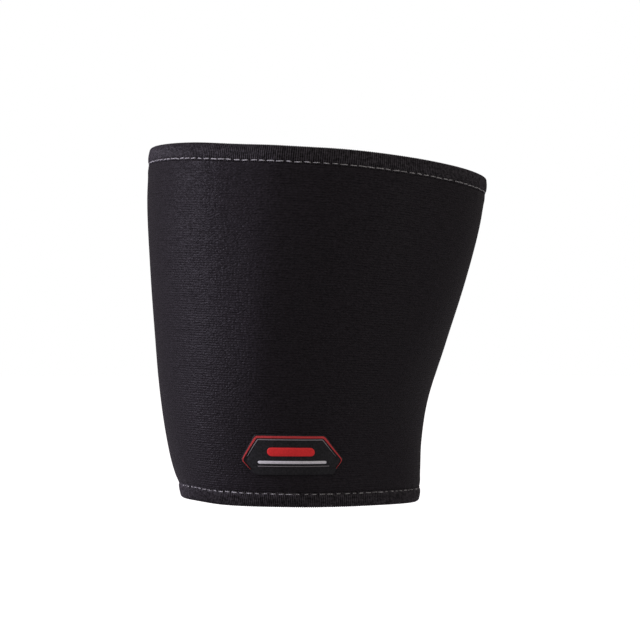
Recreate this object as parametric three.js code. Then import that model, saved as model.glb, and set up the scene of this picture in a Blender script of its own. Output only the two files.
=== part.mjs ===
// Thigh compression sleeve: a tapered tube of foam cloth, bound at both ends with folded tape,
// with a moulded hexagonal badge low on the front.
// Millimetres. +Z runs from the narrow end to the wide end, -Y is the front, and +X is to the right
// as the front is seen. The origin is on the sleeve's axis, halfway along it.
import * as THREE from "three";

// Driving dimensions of the sleeve
const LENGTH = 200; // from hem to hem along the axis
const WALL = 3; // foam with a face of jersey on each side
const HEM_WALL = 1.8; // the same wall, squeezed where the tape is sewn on
const SHOULDER = 1.6; // height over which the squeezed wall swells to full thickness
const GAP = 0.3; // between pieces that are sewn or bonded together

// Driving dimensions of the binding tape
const TAPE = 0.8; // thickness
const TOP_TAPE_WIDTH = 9.8; // from the crest of the fold to the edge
const BOTTOM_TAPE_WIDTH = 8.8;

// Driving dimensions of the badge, measured along the cloth
const BADGE = {
  angle: -0.01, // where its middle lies, in radians from the front towards +X
  height: -72.5, // of the line between its two side tips
  turn: 0.018, // in radians, which levels it against the slope of the hem
  width: 58.5, // from tip to tip
  topWidth: 38,
  bottomWidth: 44.5,
  topRise: 14.3, // from the tips' line to the top edge
  bottomDrop: 8.4, // from the tips' line to the bottom edge
  tip: 0.6, // half-height of each blunt tip
  thickness: 1,
};
const BADGE_RELIEF = 0.5; // how thick the coloured marks are
const RED_LINE_MARGIN = 0.75; // bare plate outside the red line
const RED_LINE_WIDTH = 1;
const RED_LINE_ENDS = 0.75; // share of each lower side that the red line runs down
const RED_BAR = { y: 4.8, width: 26, height: 4.8 };
const PALE_RULE = { y: -1.1, width: 38, height: 1.6 };
const BAR_END = 0.2; // height left at a bar's very ends, as a share of its full height

// How finely the curved faces are cut
const STEPS_ROUND = 60; // of each ring
const WALL_ROWS = 11; // of the wall between its two shoulders
const FOLD_STEPS = { outer: 4, inner: 3 }; // of the tape's half-round fold
const BADGE_STEP = 4.5; // the most that a badge piece runs before it bends
const BADGE_ROWS = 4; // of the plate
const BAR_END_STEPS = 4; // of each round end of a bar

// The outside face, one row for each station up the sleeve. The height is on the axis. Left, right,
// front and back are how far the face reaches, and the slope is how fast a section falls to the right.
const STATIONS = [
  { height: -103, left: -71.5, right: 71, front: -71.5, back: 71.5, slope: 0.008 },
  { height: -93, left: -72.5, right: 71, front: -73.5, back: 73, slope: 0.011 },
  { height: -82, left: -76.6, right: 71.5, front: -75.5, back: 75, slope: 0.015 },
  { height: -65, left: -80.4, right: 72, front: -79, back: 77, slope: 0.021 },
  { height: -40, left: -84, right: 75.5, front: -84, back: 81, slope: 0.03 },
  { height: -5, left: -87, right: 86.3, front: -90, back: 86, slope: 0.042 },
  { height: 35, left: -90, right: 98.7, front: -95, back: 92, slope: 0.056 },
  { height: 70, left: -91.5, right: 107, front: -97, back: 96, slope: 0.068 },
  { height: 90, left: -90.5, right: 110, front: -97, back: 97, slope: 0.076 },
  { height: 103, left: -89.5, right: 111.5, front: -96, back: 97, slope: 0.08 },
];

const HALF = LENGTH / 2;
const TAPE_FOLD = HEM_WALL + 2 * (TAPE + GAP); // thickness of the whole bound edge
const HEM_FACE = -(TAPE + GAP); // outside of the squeezed wall, against the outside face of the sleeve
const HEM_BACK = HEM_FACE - HEM_WALL;

// The outside face of the sleeve

const stationCurve = new THREE.CubicInterpolant(
  STATIONS.map((row) => row.height),
  STATIONS.flatMap((row) => [row.left, row.right, row.front, row.back, row.slope]),
  5,
);

// A point on the outside face. The angle runs from the front towards +X.
function facePoint(angle, height) {
  const [left, right, front, back, slope] = stationCurve.evaluate(height);
  const across = ((right - left) / 2) * Math.sin(angle);
  const depth = Math.cos(angle) > 0 ? -front : back;
  return new THREE.Vector3((left + right) / 2 + across, -depth * Math.cos(angle), height - slope * across);
}

function faceNormal(angle, height) {
  const turn = 0.01;
  const climb = 0.5;
  const around = facePoint(angle + turn, height).sub(facePoint(angle - turn, height));
  const up = facePoint(angle, height + climb).sub(facePoint(angle, height - climb));
  return around.cross(up).normalize();
}

function onSleeve(angle, height, offset) {
  return facePoint(angle, height).addScaledVector(faceNormal(angle, height), offset);
}

// Moves every vertex of a geometry to the place that a function gives for it.
function reshape(geometry, place) {
  const vertices = geometry.getAttribute("position");
  const from = new THREE.Vector3();
  for (let i = 0; i < vertices.count; i++) {
    const to = place(from.fromBufferAttribute(vertices, i));
    vertices.setXYZ(i, to.x, to.y, to.z);
  }
  geometry.computeVertexNormals();
  return geometry;
}

function named(name, geometry, look) {
  const mesh = new THREE.Mesh(geometry, new THREE.MeshStandardMaterial(look));
  mesh.name = name;
  return mesh;
}

// Rings around the axis: the wall and the two tapes

// Turns a closed profile of offsets and heights round a plain cylinder, then moulds it to the
// stations of the outside face.
function mouldedRing(profile) {
  const plainRadius = 100;
  const points = profile.map(([offset, height]) => new THREE.Vector2(plainRadius + offset, height));
  const ring = new THREE.LatheGeometry([...points, points[0]], STEPS_ROUND);
  return reshape(ring, (at) => {
    const offset = Math.hypot(at.x, at.z) - plainRadius;
    return onSleeve(Math.atan2(at.x, at.z), at.y, offset);
  });
}

// The wall's rows from the bottom edge to the top: each hem is thin, then swells at its shoulder.
function wallRows() {
  const edge = HALF - TAPE_FOLD / 2 - GAP;
  const bottomHem = -HALF + BOTTOM_TAPE_WIDTH + GAP;
  const topHem = HALF - TOP_TAPE_WIDTH - GAP;
  const rows = [
    { height: -edge, face: HEM_FACE, back: HEM_BACK },
    { height: bottomHem, face: HEM_FACE, back: HEM_BACK },
  ];
  const low = bottomHem + SHOULDER;
  const high = topHem - SHOULDER;
  for (let i = 0; i < WALL_ROWS; i++) {
    rows.push({ height: low + ((high - low) * i) / (WALL_ROWS - 1), face: 0, back: -WALL });
  }
  rows.push({ height: topHem, face: HEM_FACE, back: HEM_BACK });
  rows.push({ height: edge, face: HEM_FACE, back: HEM_BACK });
  return rows;
}

function sleeveWall() {
  const rows = wallRows();
  const outside = rows.map((row) => [row.face, row.height]);
  const inside = rows.map((row) => [row.back, row.height]).reverse();
  return mouldedRing([...outside, ...inside]);
}

// Half of a round fold about the middle of the bound edge, from the outside flap to the inside one.
function foldArc(radius, steps) {
  const arc = [];
  for (let i = 0; i <= steps; i++) {
    const angle = (Math.PI * i) / steps;
    arc.push([radius * Math.cos(angle) - TAPE_FOLD / 2, HALF - TAPE_FOLD / 2 + radius * Math.sin(angle)]);
  }
  return arc;
}

// Tape folded over an edge: end is 1 for the top hem and -1 for the bottom one.
function binding(width, end) {
  const outerRadius = TAPE_FOLD / 2;
  const innerRadius = outerRadius - TAPE;
  const edge = HALF - width;
  const profile = [
    [0, edge],
    ...foldArc(outerRadius, FOLD_STEPS.outer),
    [-TAPE_FOLD, edge],
    [TAPE - TAPE_FOLD, edge],
    ...foldArc(innerRadius, FOLD_STEPS.inner).reverse(),
    [-TAPE, edge],
  ].map(([offset, height]) => [offset, end * height]);
  return mouldedRing(end > 0 ? profile : profile.reverse());
}

// The badge, laid out flat about the middle of its tips' line and then curved over the sleeve

function onBadge(x, y, offset) {
  const across = x * Math.cos(BADGE.turn) - y * Math.sin(BADGE.turn);
  const up = x * Math.sin(BADGE.turn) + y * Math.cos(BADGE.turn);
  const [left, right] = stationCurve.evaluate(BADGE.height);
  const anglePerMillimetre = 2 / (right - left);
  return onSleeve(BADGE.angle + across * anglePerMillimetre, BADGE.height + up, offset);
}

// Values from first to last through the given corners, with no step over the limit.
function finely(corners, limit) {
  const steps = [corners[0]];
  for (let i = 1; i < corners.length; i++) {
    const count = Math.ceil((corners[i] - corners[i - 1]) / limit);
    for (let k = 1; k <= count; k++) {
      steps.push(corners[i - 1] + ((corners[i] - corners[i - 1]) * k) / count);
    }
  }
  return steps;
}

// A thin curved plate between two edges that are given as functions of x.
function curvedPlate(corners, lowEdge, highEdge, back, thickness, rows) {
  const columns = finely(corners, BADGE_STEP);
  const count = columns.length - 1;
  const plate = new THREE.BoxGeometry(count, 1, 1, count, rows, 1);
  return reshape(plate, (at) => {
    const x = columns[Math.round(at.x + count / 2)];
    const y = THREE.MathUtils.lerp(lowEdge(x), highEdge(x), at.y + 0.5);
    return onBadge(x, y, back + (at.z + 0.5) * thickness);
  });
}

// The height of a hexagon's edge at x: flat in the middle, falling to the blunt tip at each side.
function hexagonEdge(x, flatWidth, rise) {
  const beyond = Math.max(0, Math.abs(x) - flatWidth / 2);
  const run = (BADGE.width - flatWidth) / 2;
  return THREE.MathUtils.lerp(rise, BADGE.tip, beyond / run);
}

function badgePlate() {
  const corners = [BADGE.topWidth / 2, BADGE.bottomWidth / 2, BADGE.width / 2];
  return curvedPlate(
    [...corners.map((x) => -x).reverse(), ...corners],
    (x) => -hexagonEdge(x, BADGE.bottomWidth, BADGE.bottomDrop),
    (x) => hexagonEdge(x, BADGE.topWidth, BADGE.topRise),
    GAP,
    BADGE.thickness,
    BADGE_ROWS,
  );
}

// A low bar with round ends on the face of the plate.
function badgeBar({ y, width, height }) {
  const radius = height / 2;
  const straight = width / 2 - radius;
  const half = (x) => {
    const beyond = Math.max(0, Math.abs(x) - straight);
    return Math.max(BAR_END * radius, Math.sqrt(Math.max(0, radius ** 2 - beyond ** 2)));
  };
  const end = [];
  for (let i = 0; i <= BAR_END_STEPS; i++) {
    end.push(straight + radius * Math.sin((Math.PI / 2) * (i / BAR_END_STEPS)));
  }
  return curvedPlate(
    [...end.map((x) => -x).reverse(), ...end],
    (x) => y - half(x),
    (x) => y + half(x),
    2 * GAP + BADGE.thickness,
    BADGE_RELIEF,
    1,
  );
}

// The corners of one side of the red line: the badge's outline drawn in by a margin, without its
// bottom edge, and stopped part of the way down each lower side.
function redLineCorners(margin) {
  const outline = [
    [-BADGE.bottomWidth / 2, -BADGE.bottomDrop],
    [-BADGE.width / 2, 0],
    [-BADGE.topWidth / 2, BADGE.topRise],
    [BADGE.topWidth / 2, BADGE.topRise],
    [BADGE.width / 2, 0],
    [BADGE.bottomWidth / 2, -BADGE.bottomDrop],
  ].map(([x, y]) => new THREE.Vector2(x, y));
  const inward = outline.slice(1).map((to, i) => {
    const along = to.clone().sub(outline[i]).normalize();
    return new THREE.Vector2(along.y, -along.x);
  });
  const drawnIn = outline.map((corner, i) => {
    const before = inward[Math.max(i - 1, 0)];
    const after = inward[Math.min(i, inward.length - 1)];
    const mitre = before.clone().add(after).divideScalar(1 + before.dot(after));
    return corner.clone().addScaledVector(mitre, margin);
  });
  const [first, leftTip] = drawnIn;
  const [rightTip, last] = drawnIn.slice(-2);
  first.lerpVectors(leftTip, first, RED_LINE_ENDS);
  last.lerpVectors(rightTip, last, RED_LINE_ENDS);
  return drawnIn;
}

function badgeRedLine() {
  const outer = redLineCorners(RED_LINE_MARGIN);
  const inner = redLineCorners(RED_LINE_MARGIN + RED_LINE_WIDTH);
  const sides = outer.length - 1;
  const stepsPerSide = 7;
  const count = sides * stepsPerSide;
  const strip = new THREE.BoxGeometry(count, 1, 1, count, 1, 1);
  return reshape(strip, (at) => {
    const station = Math.round(at.x + count / 2) / stepsPerSide;
    const side = Math.min(Math.floor(station), sides - 1);
    const alongOuter = outer[side].clone().lerp(outer[side + 1], station - side);
    const alongInner = inner[side].clone().lerp(inner[side + 1], station - side);
    const spot = alongInner.lerp(alongOuter, at.y + 0.5);
    return onBadge(spot.x, spot.y, 2 * GAP + BADGE.thickness + (at.z + 0.5) * BADGE_RELIEF);
  });
}

const JERSEY = { color: 0x232226, roughness: 0.9, metalness: 0 };
const TAPE_CLOTH = { color: 0x2a292d, roughness: 0.85, metalness: 0 };
const BLACK_RUBBER = { color: 0x18181a, roughness: 0.55, metalness: 0 };
const RED_RUBBER = { color: 0xc4242a, roughness: 0.5, metalness: 0 };
const PALE_RUBBER = { color: 0xd8d8da, roughness: 0.5, metalness: 0 };

const badge = new THREE.Group();
badge.add(
  named("badge_plate", badgePlate(), BLACK_RUBBER),
  named("badge_red_line", badgeRedLine(), RED_RUBBER),
  named("badge_red_bar", badgeBar(RED_BAR), RED_RUBBER),
  named("badge_pale_rule", badgeBar(PALE_RULE), PALE_RUBBER),
);

const sleeve = new THREE.Group();
sleeve.add(
  named("sleeve_wall", sleeveWall(), JERSEY),
  named("top_binding", binding(TOP_TAPE_WIDTH, 1), TAPE_CLOTH),
  named("bottom_binding", binding(BOTTOM_TAPE_WIDTH, -1), TAPE_CLOTH),
  badge,
);

export default sleeve;
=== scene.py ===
# %% [markdown]
# # A thigh compression sleeve
# This lesson dresses a fixed frame, the sleeve's CAD model, as the real thing looks: a black tube of
# foam cloth with a jersey face, a tape folded over each end and sewn with pale thread, and a soft
# rubber badge low on the front. The frame fixes every size, so each piece is made in its place.
# The cloth is stretched tight, as it is in use. It has no loose folds to simulate, so its form is
# worked out.

# %% Load the frame
import math

import bmesh
import bpy
import numpy as np
from mathutils import Matrix


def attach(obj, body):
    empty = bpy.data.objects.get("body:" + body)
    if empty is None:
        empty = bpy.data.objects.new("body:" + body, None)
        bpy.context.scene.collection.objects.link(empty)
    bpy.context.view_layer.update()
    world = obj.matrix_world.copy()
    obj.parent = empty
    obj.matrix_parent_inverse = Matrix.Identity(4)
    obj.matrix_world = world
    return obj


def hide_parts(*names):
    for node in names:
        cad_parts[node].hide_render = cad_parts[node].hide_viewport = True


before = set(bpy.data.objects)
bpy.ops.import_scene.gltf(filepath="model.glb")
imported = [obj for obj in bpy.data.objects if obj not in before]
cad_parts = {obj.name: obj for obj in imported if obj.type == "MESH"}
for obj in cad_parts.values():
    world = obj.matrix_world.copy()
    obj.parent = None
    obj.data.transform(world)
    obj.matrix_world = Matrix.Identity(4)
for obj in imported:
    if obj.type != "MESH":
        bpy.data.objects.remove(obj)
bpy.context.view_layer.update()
scene = bpy.context.scene
MM = 0.001
print("frame nodes:", ", ".join(sorted(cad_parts)))

# %% [markdown]
# ## The shape of the sleeve
# Every piece lies on one surface, the outside of the stretched cloth. A maker sews a flat tapered tube,
# and use gives it this form. It could be sculpted, but then the tapes, the stitches and the badge could
# not find it again. A short table of sections with smooth curves between them can be asked for a place
# and a direction anywhere, so the sections of the frame are repeated here.

# %% Sections up the sleeve
# Millimetres from the axis as the front is seen, and how fast each section falls to the right
SECTIONS = [
    {"height": -103, "left": -71.5, "right": 71, "front": -71.5, "back": 71.5, "slope": 0.008},
    {"height": -93, "left": -72.5, "right": 71, "front": -73.5, "back": 73, "slope": 0.011},
    {"height": -82, "left": -76.6, "right": 71.5, "front": -75.5, "back": 75, "slope": 0.015},
    {"height": -65, "left": -80.4, "right": 72, "front": -79, "back": 77, "slope": 0.021},
    {"height": -40, "left": -84, "right": 75.5, "front": -84, "back": 81, "slope": 0.03},
    {"height": -5, "left": -87, "right": 86.3, "front": -90, "back": 86, "slope": 0.042},
    {"height": 35, "left": -90, "right": 98.7, "front": -95, "back": 92, "slope": 0.056},
    {"height": 70, "left": -91.5, "right": 107, "front": -97, "back": 96, "slope": 0.068},
    {"height": 90, "left": -90.5, "right": 110, "front": -97, "back": 97, "slope": 0.076},
    {"height": 103, "left": -89.5, "right": 111.5, "front": -96, "back": 97, "slope": 0.08},
]
SIDES = ("left", "right", "front", "back")
HEIGHTS = np.array([row["height"] for row in SECTIONS]) * MM
REACHES = np.array([[row[side] * MM for side in SIDES] for row in SECTIONS])
SLOPES = np.array([[row["slope"]] for row in SECTIONS])
COLUMNS = np.hstack([REACHES, SLOPES])


def smooth_curve(stops, values, at):
    """The values of a table's rows at any place between its stops, on smooth curves."""
    secants = np.diff(values, axis=0) / np.diff(stops)[:, None]
    tangents = np.vstack([secants[:1], (secants[1:] + secants[:-1]) / 2, secants[-1:]])
    row = np.clip(np.searchsorted(stops, at) - 1, 0, len(stops) - 2)
    span = (stops[row + 1] - stops[row])[:, None]
    t = (at - stops[row])[:, None] / span
    low, high = values[row], values[row + 1]
    leave, arrive = tangents[row] * span, tangents[row + 1] * span
    bend = (2 * low - 2 * high + leave + arrive) * t**3
    return bend + (3 * high - 3 * low - 2 * leave - arrive) * t**2 + leave * t + low


def section(height):
    """The reaches and the slope of the sleeve's section at each height."""
    return smooth_curve(HEIGHTS, COLUMNS, height).T


left, right = section(np.zeros(1))[:2]
print(f"width at mid height {(right - left)[0] / MM:.0f} mm")

# %% [markdown]
# Neither hem is quite level, because cloth pulled on by hand never is: both sag a little at the right.
# A short table round the ring holds that for each hem, and it fades out towards the middle.

# %% The level of the hems
# Millimetres of rise at some angles, which are degrees from the front to the right
UPPER_LEVEL = {
    -180: 0, -45: 0, -29: -0.55, -12: -0.3, 6: 0.4, 30: 0,
    52: -0.9, 75: -1.8, 120: -0.6, 150: 0, 180: 0,
}
LOWER_LEVEL = {
    -180: 0, -85: 0, -55: 0.5, -38: 0.05, 0: 0.1, 22: 0.4, 38: 0.45,
    58: 0, 74: -0.6, 92: -1.1, 125: -0.5, 155: 0, 180: 0,
}
# The heights where each hem's table starts to tell, and where it tells in full
UPPER_FADE = (30 * MM, 85 * MM)
LOWER_FADE = (-62 * MM, -88 * MM)


def fade(value, start, full):
    """A smooth step from 0 at the start to 1."""
    t = np.clip((value - start) / (full - start), 0, 1)
    return t * t * (3 - 2 * t)


def wrapped(angle):
    """The same angle, within half a turn of zero."""
    return (angle + np.pi) % math.tau - np.pi


def hem_rise(angle, height):
    """How far the cloth rides up or sags near its hems."""
    rise = np.zeros(len(height))
    for level, ends in ((UPPER_LEVEL, UPPER_FADE), (LOWER_LEVEL, LOWER_FADE)):
        angles = np.radians(list(level))
        rises = np.array([[part * MM] for part in level.values()])
        rise += smooth_curve(angles, rises, wrapped(angle))[:, 0] * fade(height, *ends)
    return rise


HALF_LENGTH = 100 * MM
ROUND = np.linspace(-np.pi, np.pi, 721)
for end in (HALF_LENGTH, -HALF_LENGTH):
    sag = -hem_rise(ROUND, np.full(len(ROUND), end)).min()
    print(f"hem at {end / MM:.0f} mm sags by {sag / MM:.1f} mm at most")

# %% [markdown]
# With the sections and the hems known, any place on the cloth is an angle, a height and an offset along
# the cloth's own normal. The normal comes from two short steps on the face, one round it and one up it.

# %% Places on the sleeve
TURN_STEP = 0.01
CLIMB_STEP = 0.5 * MM


def face_point(angle, height):
    """Points on the outside face. Angle 0 is the front, and it grows to the right."""
    left, right, front, back, slope = section(height)
    across = (right - left) / 2 * np.sin(angle)
    depth = np.where(np.cos(angle) > 0, -front, back)
    level = height - slope * across + hem_rise(angle, height)
    return np.stack([(left + right) / 2 + across, -depth * np.cos(angle), level], axis=1)


def on_sleeve(angle, height, offset):
    """Points that stand out from the face by an offset, along its own normal."""
    around = face_point(angle + TURN_STEP, height) - face_point(angle - TURN_STEP, height)
    up = face_point(angle, height + CLIMB_STEP) - face_point(angle, height - CLIMB_STEP)
    normal = np.cross(around, up)
    normal /= np.linalg.norm(normal, axis=1, keepdims=True)
    return face_point(angle, height) + normal * offset[:, None]


top_ring = face_point(ROUND, np.full(len(ROUND), HALF_LENGTH))
girth = np.linalg.norm(np.diff(top_ring, axis=0), axis=1).sum()
print(f"girth at the upper hem {girth / MM:.0f} mm")

# %% [markdown]
# ## The cloth's unevenness
# Tight foam cloth is never quite even. It stands out in broad low swells and in one long low ridge down
# the front, and a row of stitches gathers it in small puckers that die away within a few millimetres.
# At the back, where the sheet is sewn to itself, a shallow groove runs from hem to hem. Sculpting all
# this would give a different result every time. A few seeded waves summed round the ring give the same
# calm relief on each run, and every piece that lies on the cloth can follow it.

# %% Swells, puckers, the ridge and the groove
TOP_TAPE_WIDTH = 9.8 * MM
BOTTOM_TAPE_WIDTH = 8.8 * MM
STITCH_MARGIN = 0.9 * MM
TOP_TAPE_EDGE = HALF_LENGTH - TOP_TAPE_WIDTH
BOTTOM_TAPE_EDGE = BOTTOM_TAPE_WIDTH - HALF_LENGTH
TOP_STITCH_LINE = TOP_TAPE_EDGE + STITCH_MARGIN
BOTTOM_STITCH_LINE = BOTTOM_TAPE_EDGE - STITCH_MARGIN
SWELL_COUNT = 8
SWELL_RISE = 0.16 * MM
SWELL_TURNS = (2, 8)
SWELL_CLIMB = (-45, 45)
PUCKER_COUNT = 6
PUCKER_RISE = 0.07 * MM
PUCKER_REACH = 4.5 * MM
PUCKER_TURNS = (34, 78)
RIDGE_RISE = 1.3 * MM
RIDGE_AT = math.radians(-14)
RIDGE_REACH = math.radians(8)
RIDGE_FADE = (-70 * MM, 0)
SEAM_DEPTH = 0.55 * MM
SEAM_REACH = math.radians(1.0)
seeded = np.random.default_rng(7)
SWELLS = [
    {"turns": turns, "climb": climb, "start": start}
    for turns, climb, start in zip(
        seeded.integers(*SWELL_TURNS, SWELL_COUNT),
        seeded.uniform(*SWELL_CLIMB, SWELL_COUNT),
        seeded.uniform(0, math.tau, SWELL_COUNT),
    )
]
PUCKERS = [
    {"turns": turns, "start": start}
    for turns, start in zip(
        seeded.integers(*PUCKER_TURNS, PUCKER_COUNT),
        seeded.uniform(0, math.tau, PUCKER_COUNT),
    )
]


def relief(angle, height):
    """How far the stretched cloth stands out from its even face."""
    swells = sum(np.sin(w["turns"] * angle + w["climb"] * height + w["start"]) for w in SWELLS)
    puckers = sum(np.sin(w["turns"] * angle + w["start"]) for w in PUCKERS)
    to_top = np.abs(height - TOP_STITCH_LINE)
    to_bottom = np.abs(height - BOTTOM_STITCH_LINE)
    near_stitches = np.exp(-np.minimum(to_top, to_bottom) / PUCKER_REACH)
    ridge = fade(height, *RIDGE_FADE) * np.exp(-((wrapped(angle - RIDGE_AT) / RIDGE_REACH) ** 2))
    seam = np.exp(-((wrapped(angle - np.pi) / SEAM_REACH) ** 2))
    waves = SWELL_RISE * swells + PUCKER_RISE * near_stitches * puckers
    return waves + RIDGE_RISE * ridge - SEAM_DEPTH * seam


sample = relief(ROUND, np.zeros(len(ROUND)))
print(f"relief at mid height {sample.min() / MM:.2f} to {sample.max() / MM:.2f} mm")

# %% [markdown]
# ## Node trees
# Finishes are node trees. Nodes can be wired one by one in the editor, and in code a few small helpers
# keep that readable: one places a node with its settings and links, and the others do sums with it.

# %% Placing nodes and doing sums
def place(tree, kind, inputs=None, **settings):
    """A new node. Each input takes a value, or a link from another node's socket."""
    node = tree.nodes.new(kind)
    for key, value in settings.items():
        setattr(node, key, value)
    for key, value in (inputs or {}).items():
        if isinstance(value, bpy.types.NodeSocket):
            tree.links.new(value, node.inputs[key])
        else:
            node.inputs[key].default_value = value
    return node


def reckon(tree, operation, *values):
    """The result of one sum on values or sockets."""
    return place(tree, "ShaderNodeMath", dict(enumerate(values)), operation=operation).outputs[0]


def weighted(tree, *terms):
    """The sum of several sockets, each times its share."""
    total = 0
    for socket, share in reversed(terms):
        total = reckon(tree, "MULTIPLY_ADD", socket, share, total)
    return total


def between(tree, low, high, value):
    """A value from 0 to 1, carried over to the span from low to high."""
    return reckon(tree, "MULTIPLY_ADD", value, high - low, low)


def stretched(tree, low, high, value):
    """The other way: 0 where a value is low or less, and 1 where it is high or more."""
    inputs = {"Value": value, "From Min": low, "From Max": high}
    return place(tree, "ShaderNodeMapRange", inputs).outputs[0]


def wave(tree, low, high, turns):
    """A smooth wave between low and high, once for each turn."""
    swing = reckon(tree, "SINE", reckon(tree, "MULTIPLY", turns, math.tau))
    return reckon(tree, "MULTIPLY_ADD", swing, (high - low) / 2, (high + low) / 2)


def noise(tree, spot, scale, detail):
    """Soft noise that varies about a half."""
    inputs = {"Vector": spot, "Scale": scale, "Detail": detail}
    return place(tree, "ShaderNodeTexNoise", inputs).outputs["Fac"]


def blend(tree, share, low, high):
    """A colour between two others. Each is three numbers, or a socket."""
    ends = [end if isinstance(end, bpy.types.NodeSocket) else (*end, 1) for end in (low, high)]
    return place(tree, "ShaderNodeMix", {0: share, 6: ends[0], 7: ends[1]}, data_type="RGBA").outputs[2]


sums = (reckon, weighted, between, stretched, wave, noise, blend)
print("sums:", ", ".join(helper.__name__ for helper in sums))

# %% [markdown]
# An effect that several finishes share is a group with named inputs. A finish itself is a material whose
# shader has its plain values set on its own sockets, and the rest linked.

# %% Groups and finishes
VALUE, VECTOR = "NodeSocketFloat", "NodeSocketVector"


def new_group(name, inputs, outputs):
    """An empty shader group: inputs by name and kind, and outputs that are all values."""
    tree = bpy.data.node_groups.new(name, "ShaderNodeTree")
    for label, kind in inputs.items():
        tree.interface.new_socket(label, in_out="INPUT", socket_type=kind)
    for label in outputs:
        tree.interface.new_socket(label, in_out="OUTPUT", socket_type=VALUE)
    return tree, tree.nodes.new("NodeGroupInput").outputs, tree.nodes.new("NodeGroupOutput").inputs


def use_group(tree, group, **inputs):
    """Places a group in a material, with its own values."""
    return place(tree, "ShaderNodeGroup", inputs, node_tree=group).outputs


def new_finish(name, **sockets):
    """A material and its shader, with the sockets that are the same all over set on the shader."""
    finish = bpy.data.materials.new(name)
    finish.use_nodes = True
    tree = finish.node_tree
    shader = tree.nodes["Principled BSDF"]
    for label, value in sockets.items():
        shader.inputs[label.replace("_", " ")].default_value = value
    return finish, tree, shader.inputs


def raise_surface(tree, shader, height, distance, strength=1):
    """Bumps a finish by a height from 0 to 1, over a distance."""
    inputs = {"Height": height, "Distance": distance, "Strength": strength}
    tree.links.new(place(tree, "ShaderNodeBump", inputs).outputs[0], shader["Normal"])


builders = (new_group, use_group, new_finish, raise_surface)
print("builders:", ", ".join(helper.__name__ for helper in builders))

# %% [markdown]
# ## Shared effects of cloth
# Two effects turn up in every textile here. Fibres are fine streaks, with a few stray bright hairs.
# Loops or ribs that run round a ring are a repeat on its map. A finish only has to give them a scale.

# %% Fibres
NOISE_SPAN = (0.3, 0.7)
HAIR_SPAN = (0.6, 0.74)
HAIR_SCALE = 2.3


def fibre_group():
    """Streaks of a given length and width on a map, and rarer bright hairs."""
    inputs = {"Map": VECTOR, "Length": VALUE, "Width": VALUE}
    tree, given, gives = new_group("fibres", inputs, ["Streak", "Hair"])
    spot = place(tree, "ShaderNodeSeparateXYZ", {0: given["Map"]}).outputs
    along = reckon(tree, "DIVIDE", spot["X"], given["Length"])
    across = reckon(tree, "DIVIDE", spot["Y"], given["Width"])
    drawn = place(tree, "ShaderNodeCombineXYZ", {"X": along, "Y": across}).outputs[0]
    streak = stretched(tree, *NOISE_SPAN, noise(tree, drawn, scale=1, detail=1))
    hair = stretched(tree, *HAIR_SPAN, noise(tree, drawn, scale=HAIR_SCALE, detail=1))
    tree.links.new(streak, gives["Streak"])
    tree.links.new(hair, gives["Hair"])
    return tree


fibres = fibre_group()
print("group:", fibres.name)

# %% Rows of loops
def loop_group():
    """Rows of loops or ribs that lean to and fro, and a chance value for each loop."""
    inputs = {"Map": VECTOR, "Row": VALUE, "Column": VALUE, "Lean": VALUE}
    tree, given, gives = new_group("rows of loops", inputs, ["Height", "Chance"])
    spot = place(tree, "ShaderNodeSeparateXYZ", {0: given["Map"]}).outputs
    column = reckon(tree, "DIVIDE", spot["X"], given["Column"])
    level = reckon(tree, "DIVIDE", spot["Y"], given["Row"])
    to_and_fro = reckon(tree, "PINGPONG", column, 0.5)
    row = reckon(tree, "MULTIPLY_ADD", to_and_fro, given["Lean"], level)
    loop = reckon(tree, "MULTIPLY", wave(tree, 0, 1, row), wave(tree, 0.8, 1, column))
    cell = {"X": reckon(tree, "FLOOR", column), "Y": reckon(tree, "FLOOR", row)}
    corner = place(tree, "ShaderNodeCombineXYZ", cell).outputs[0]
    dice = place(tree, "ShaderNodeTexWhiteNoise", {"Vector": corner}, noise_dimensions="2D")
    tree.links.new(loop, gives["Height"])
    tree.links.new(dice.outputs["Value"], gives["Chance"])
    return tree


rows_of_loops = loop_group()
print("group:", rows_of_loops.name)

# %% [markdown]
# ## The jersey finish
# The tube's face is black nylon jersey: matt, in knitted rows a little over a millimetre apart, with yarn
# that varies in tone and a few paler hairs. An image could be tiled, but a repeat on the cloth's own map
# stays sharp at any distance. The rows, the yarn and some longer dashes raise the surface, and the loops,
# the yarn and the dashes vary its tone.

# %% Black jersey
CLOTH_MAP = "cloth"
JERSEY_SHADE = (0.0076, 0.0066, 0.0076)
JERSEY_TINT = (0.0268, 0.0237, 0.0268)
JERSEY_HAIR = (0.045, 0.042, 0.045)
JERSEY_HAIRS = 0.2
JERSEY_ROUGHNESS = (0.38, 0.48)
JERSEY_BUMP = 1 * MM


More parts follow.
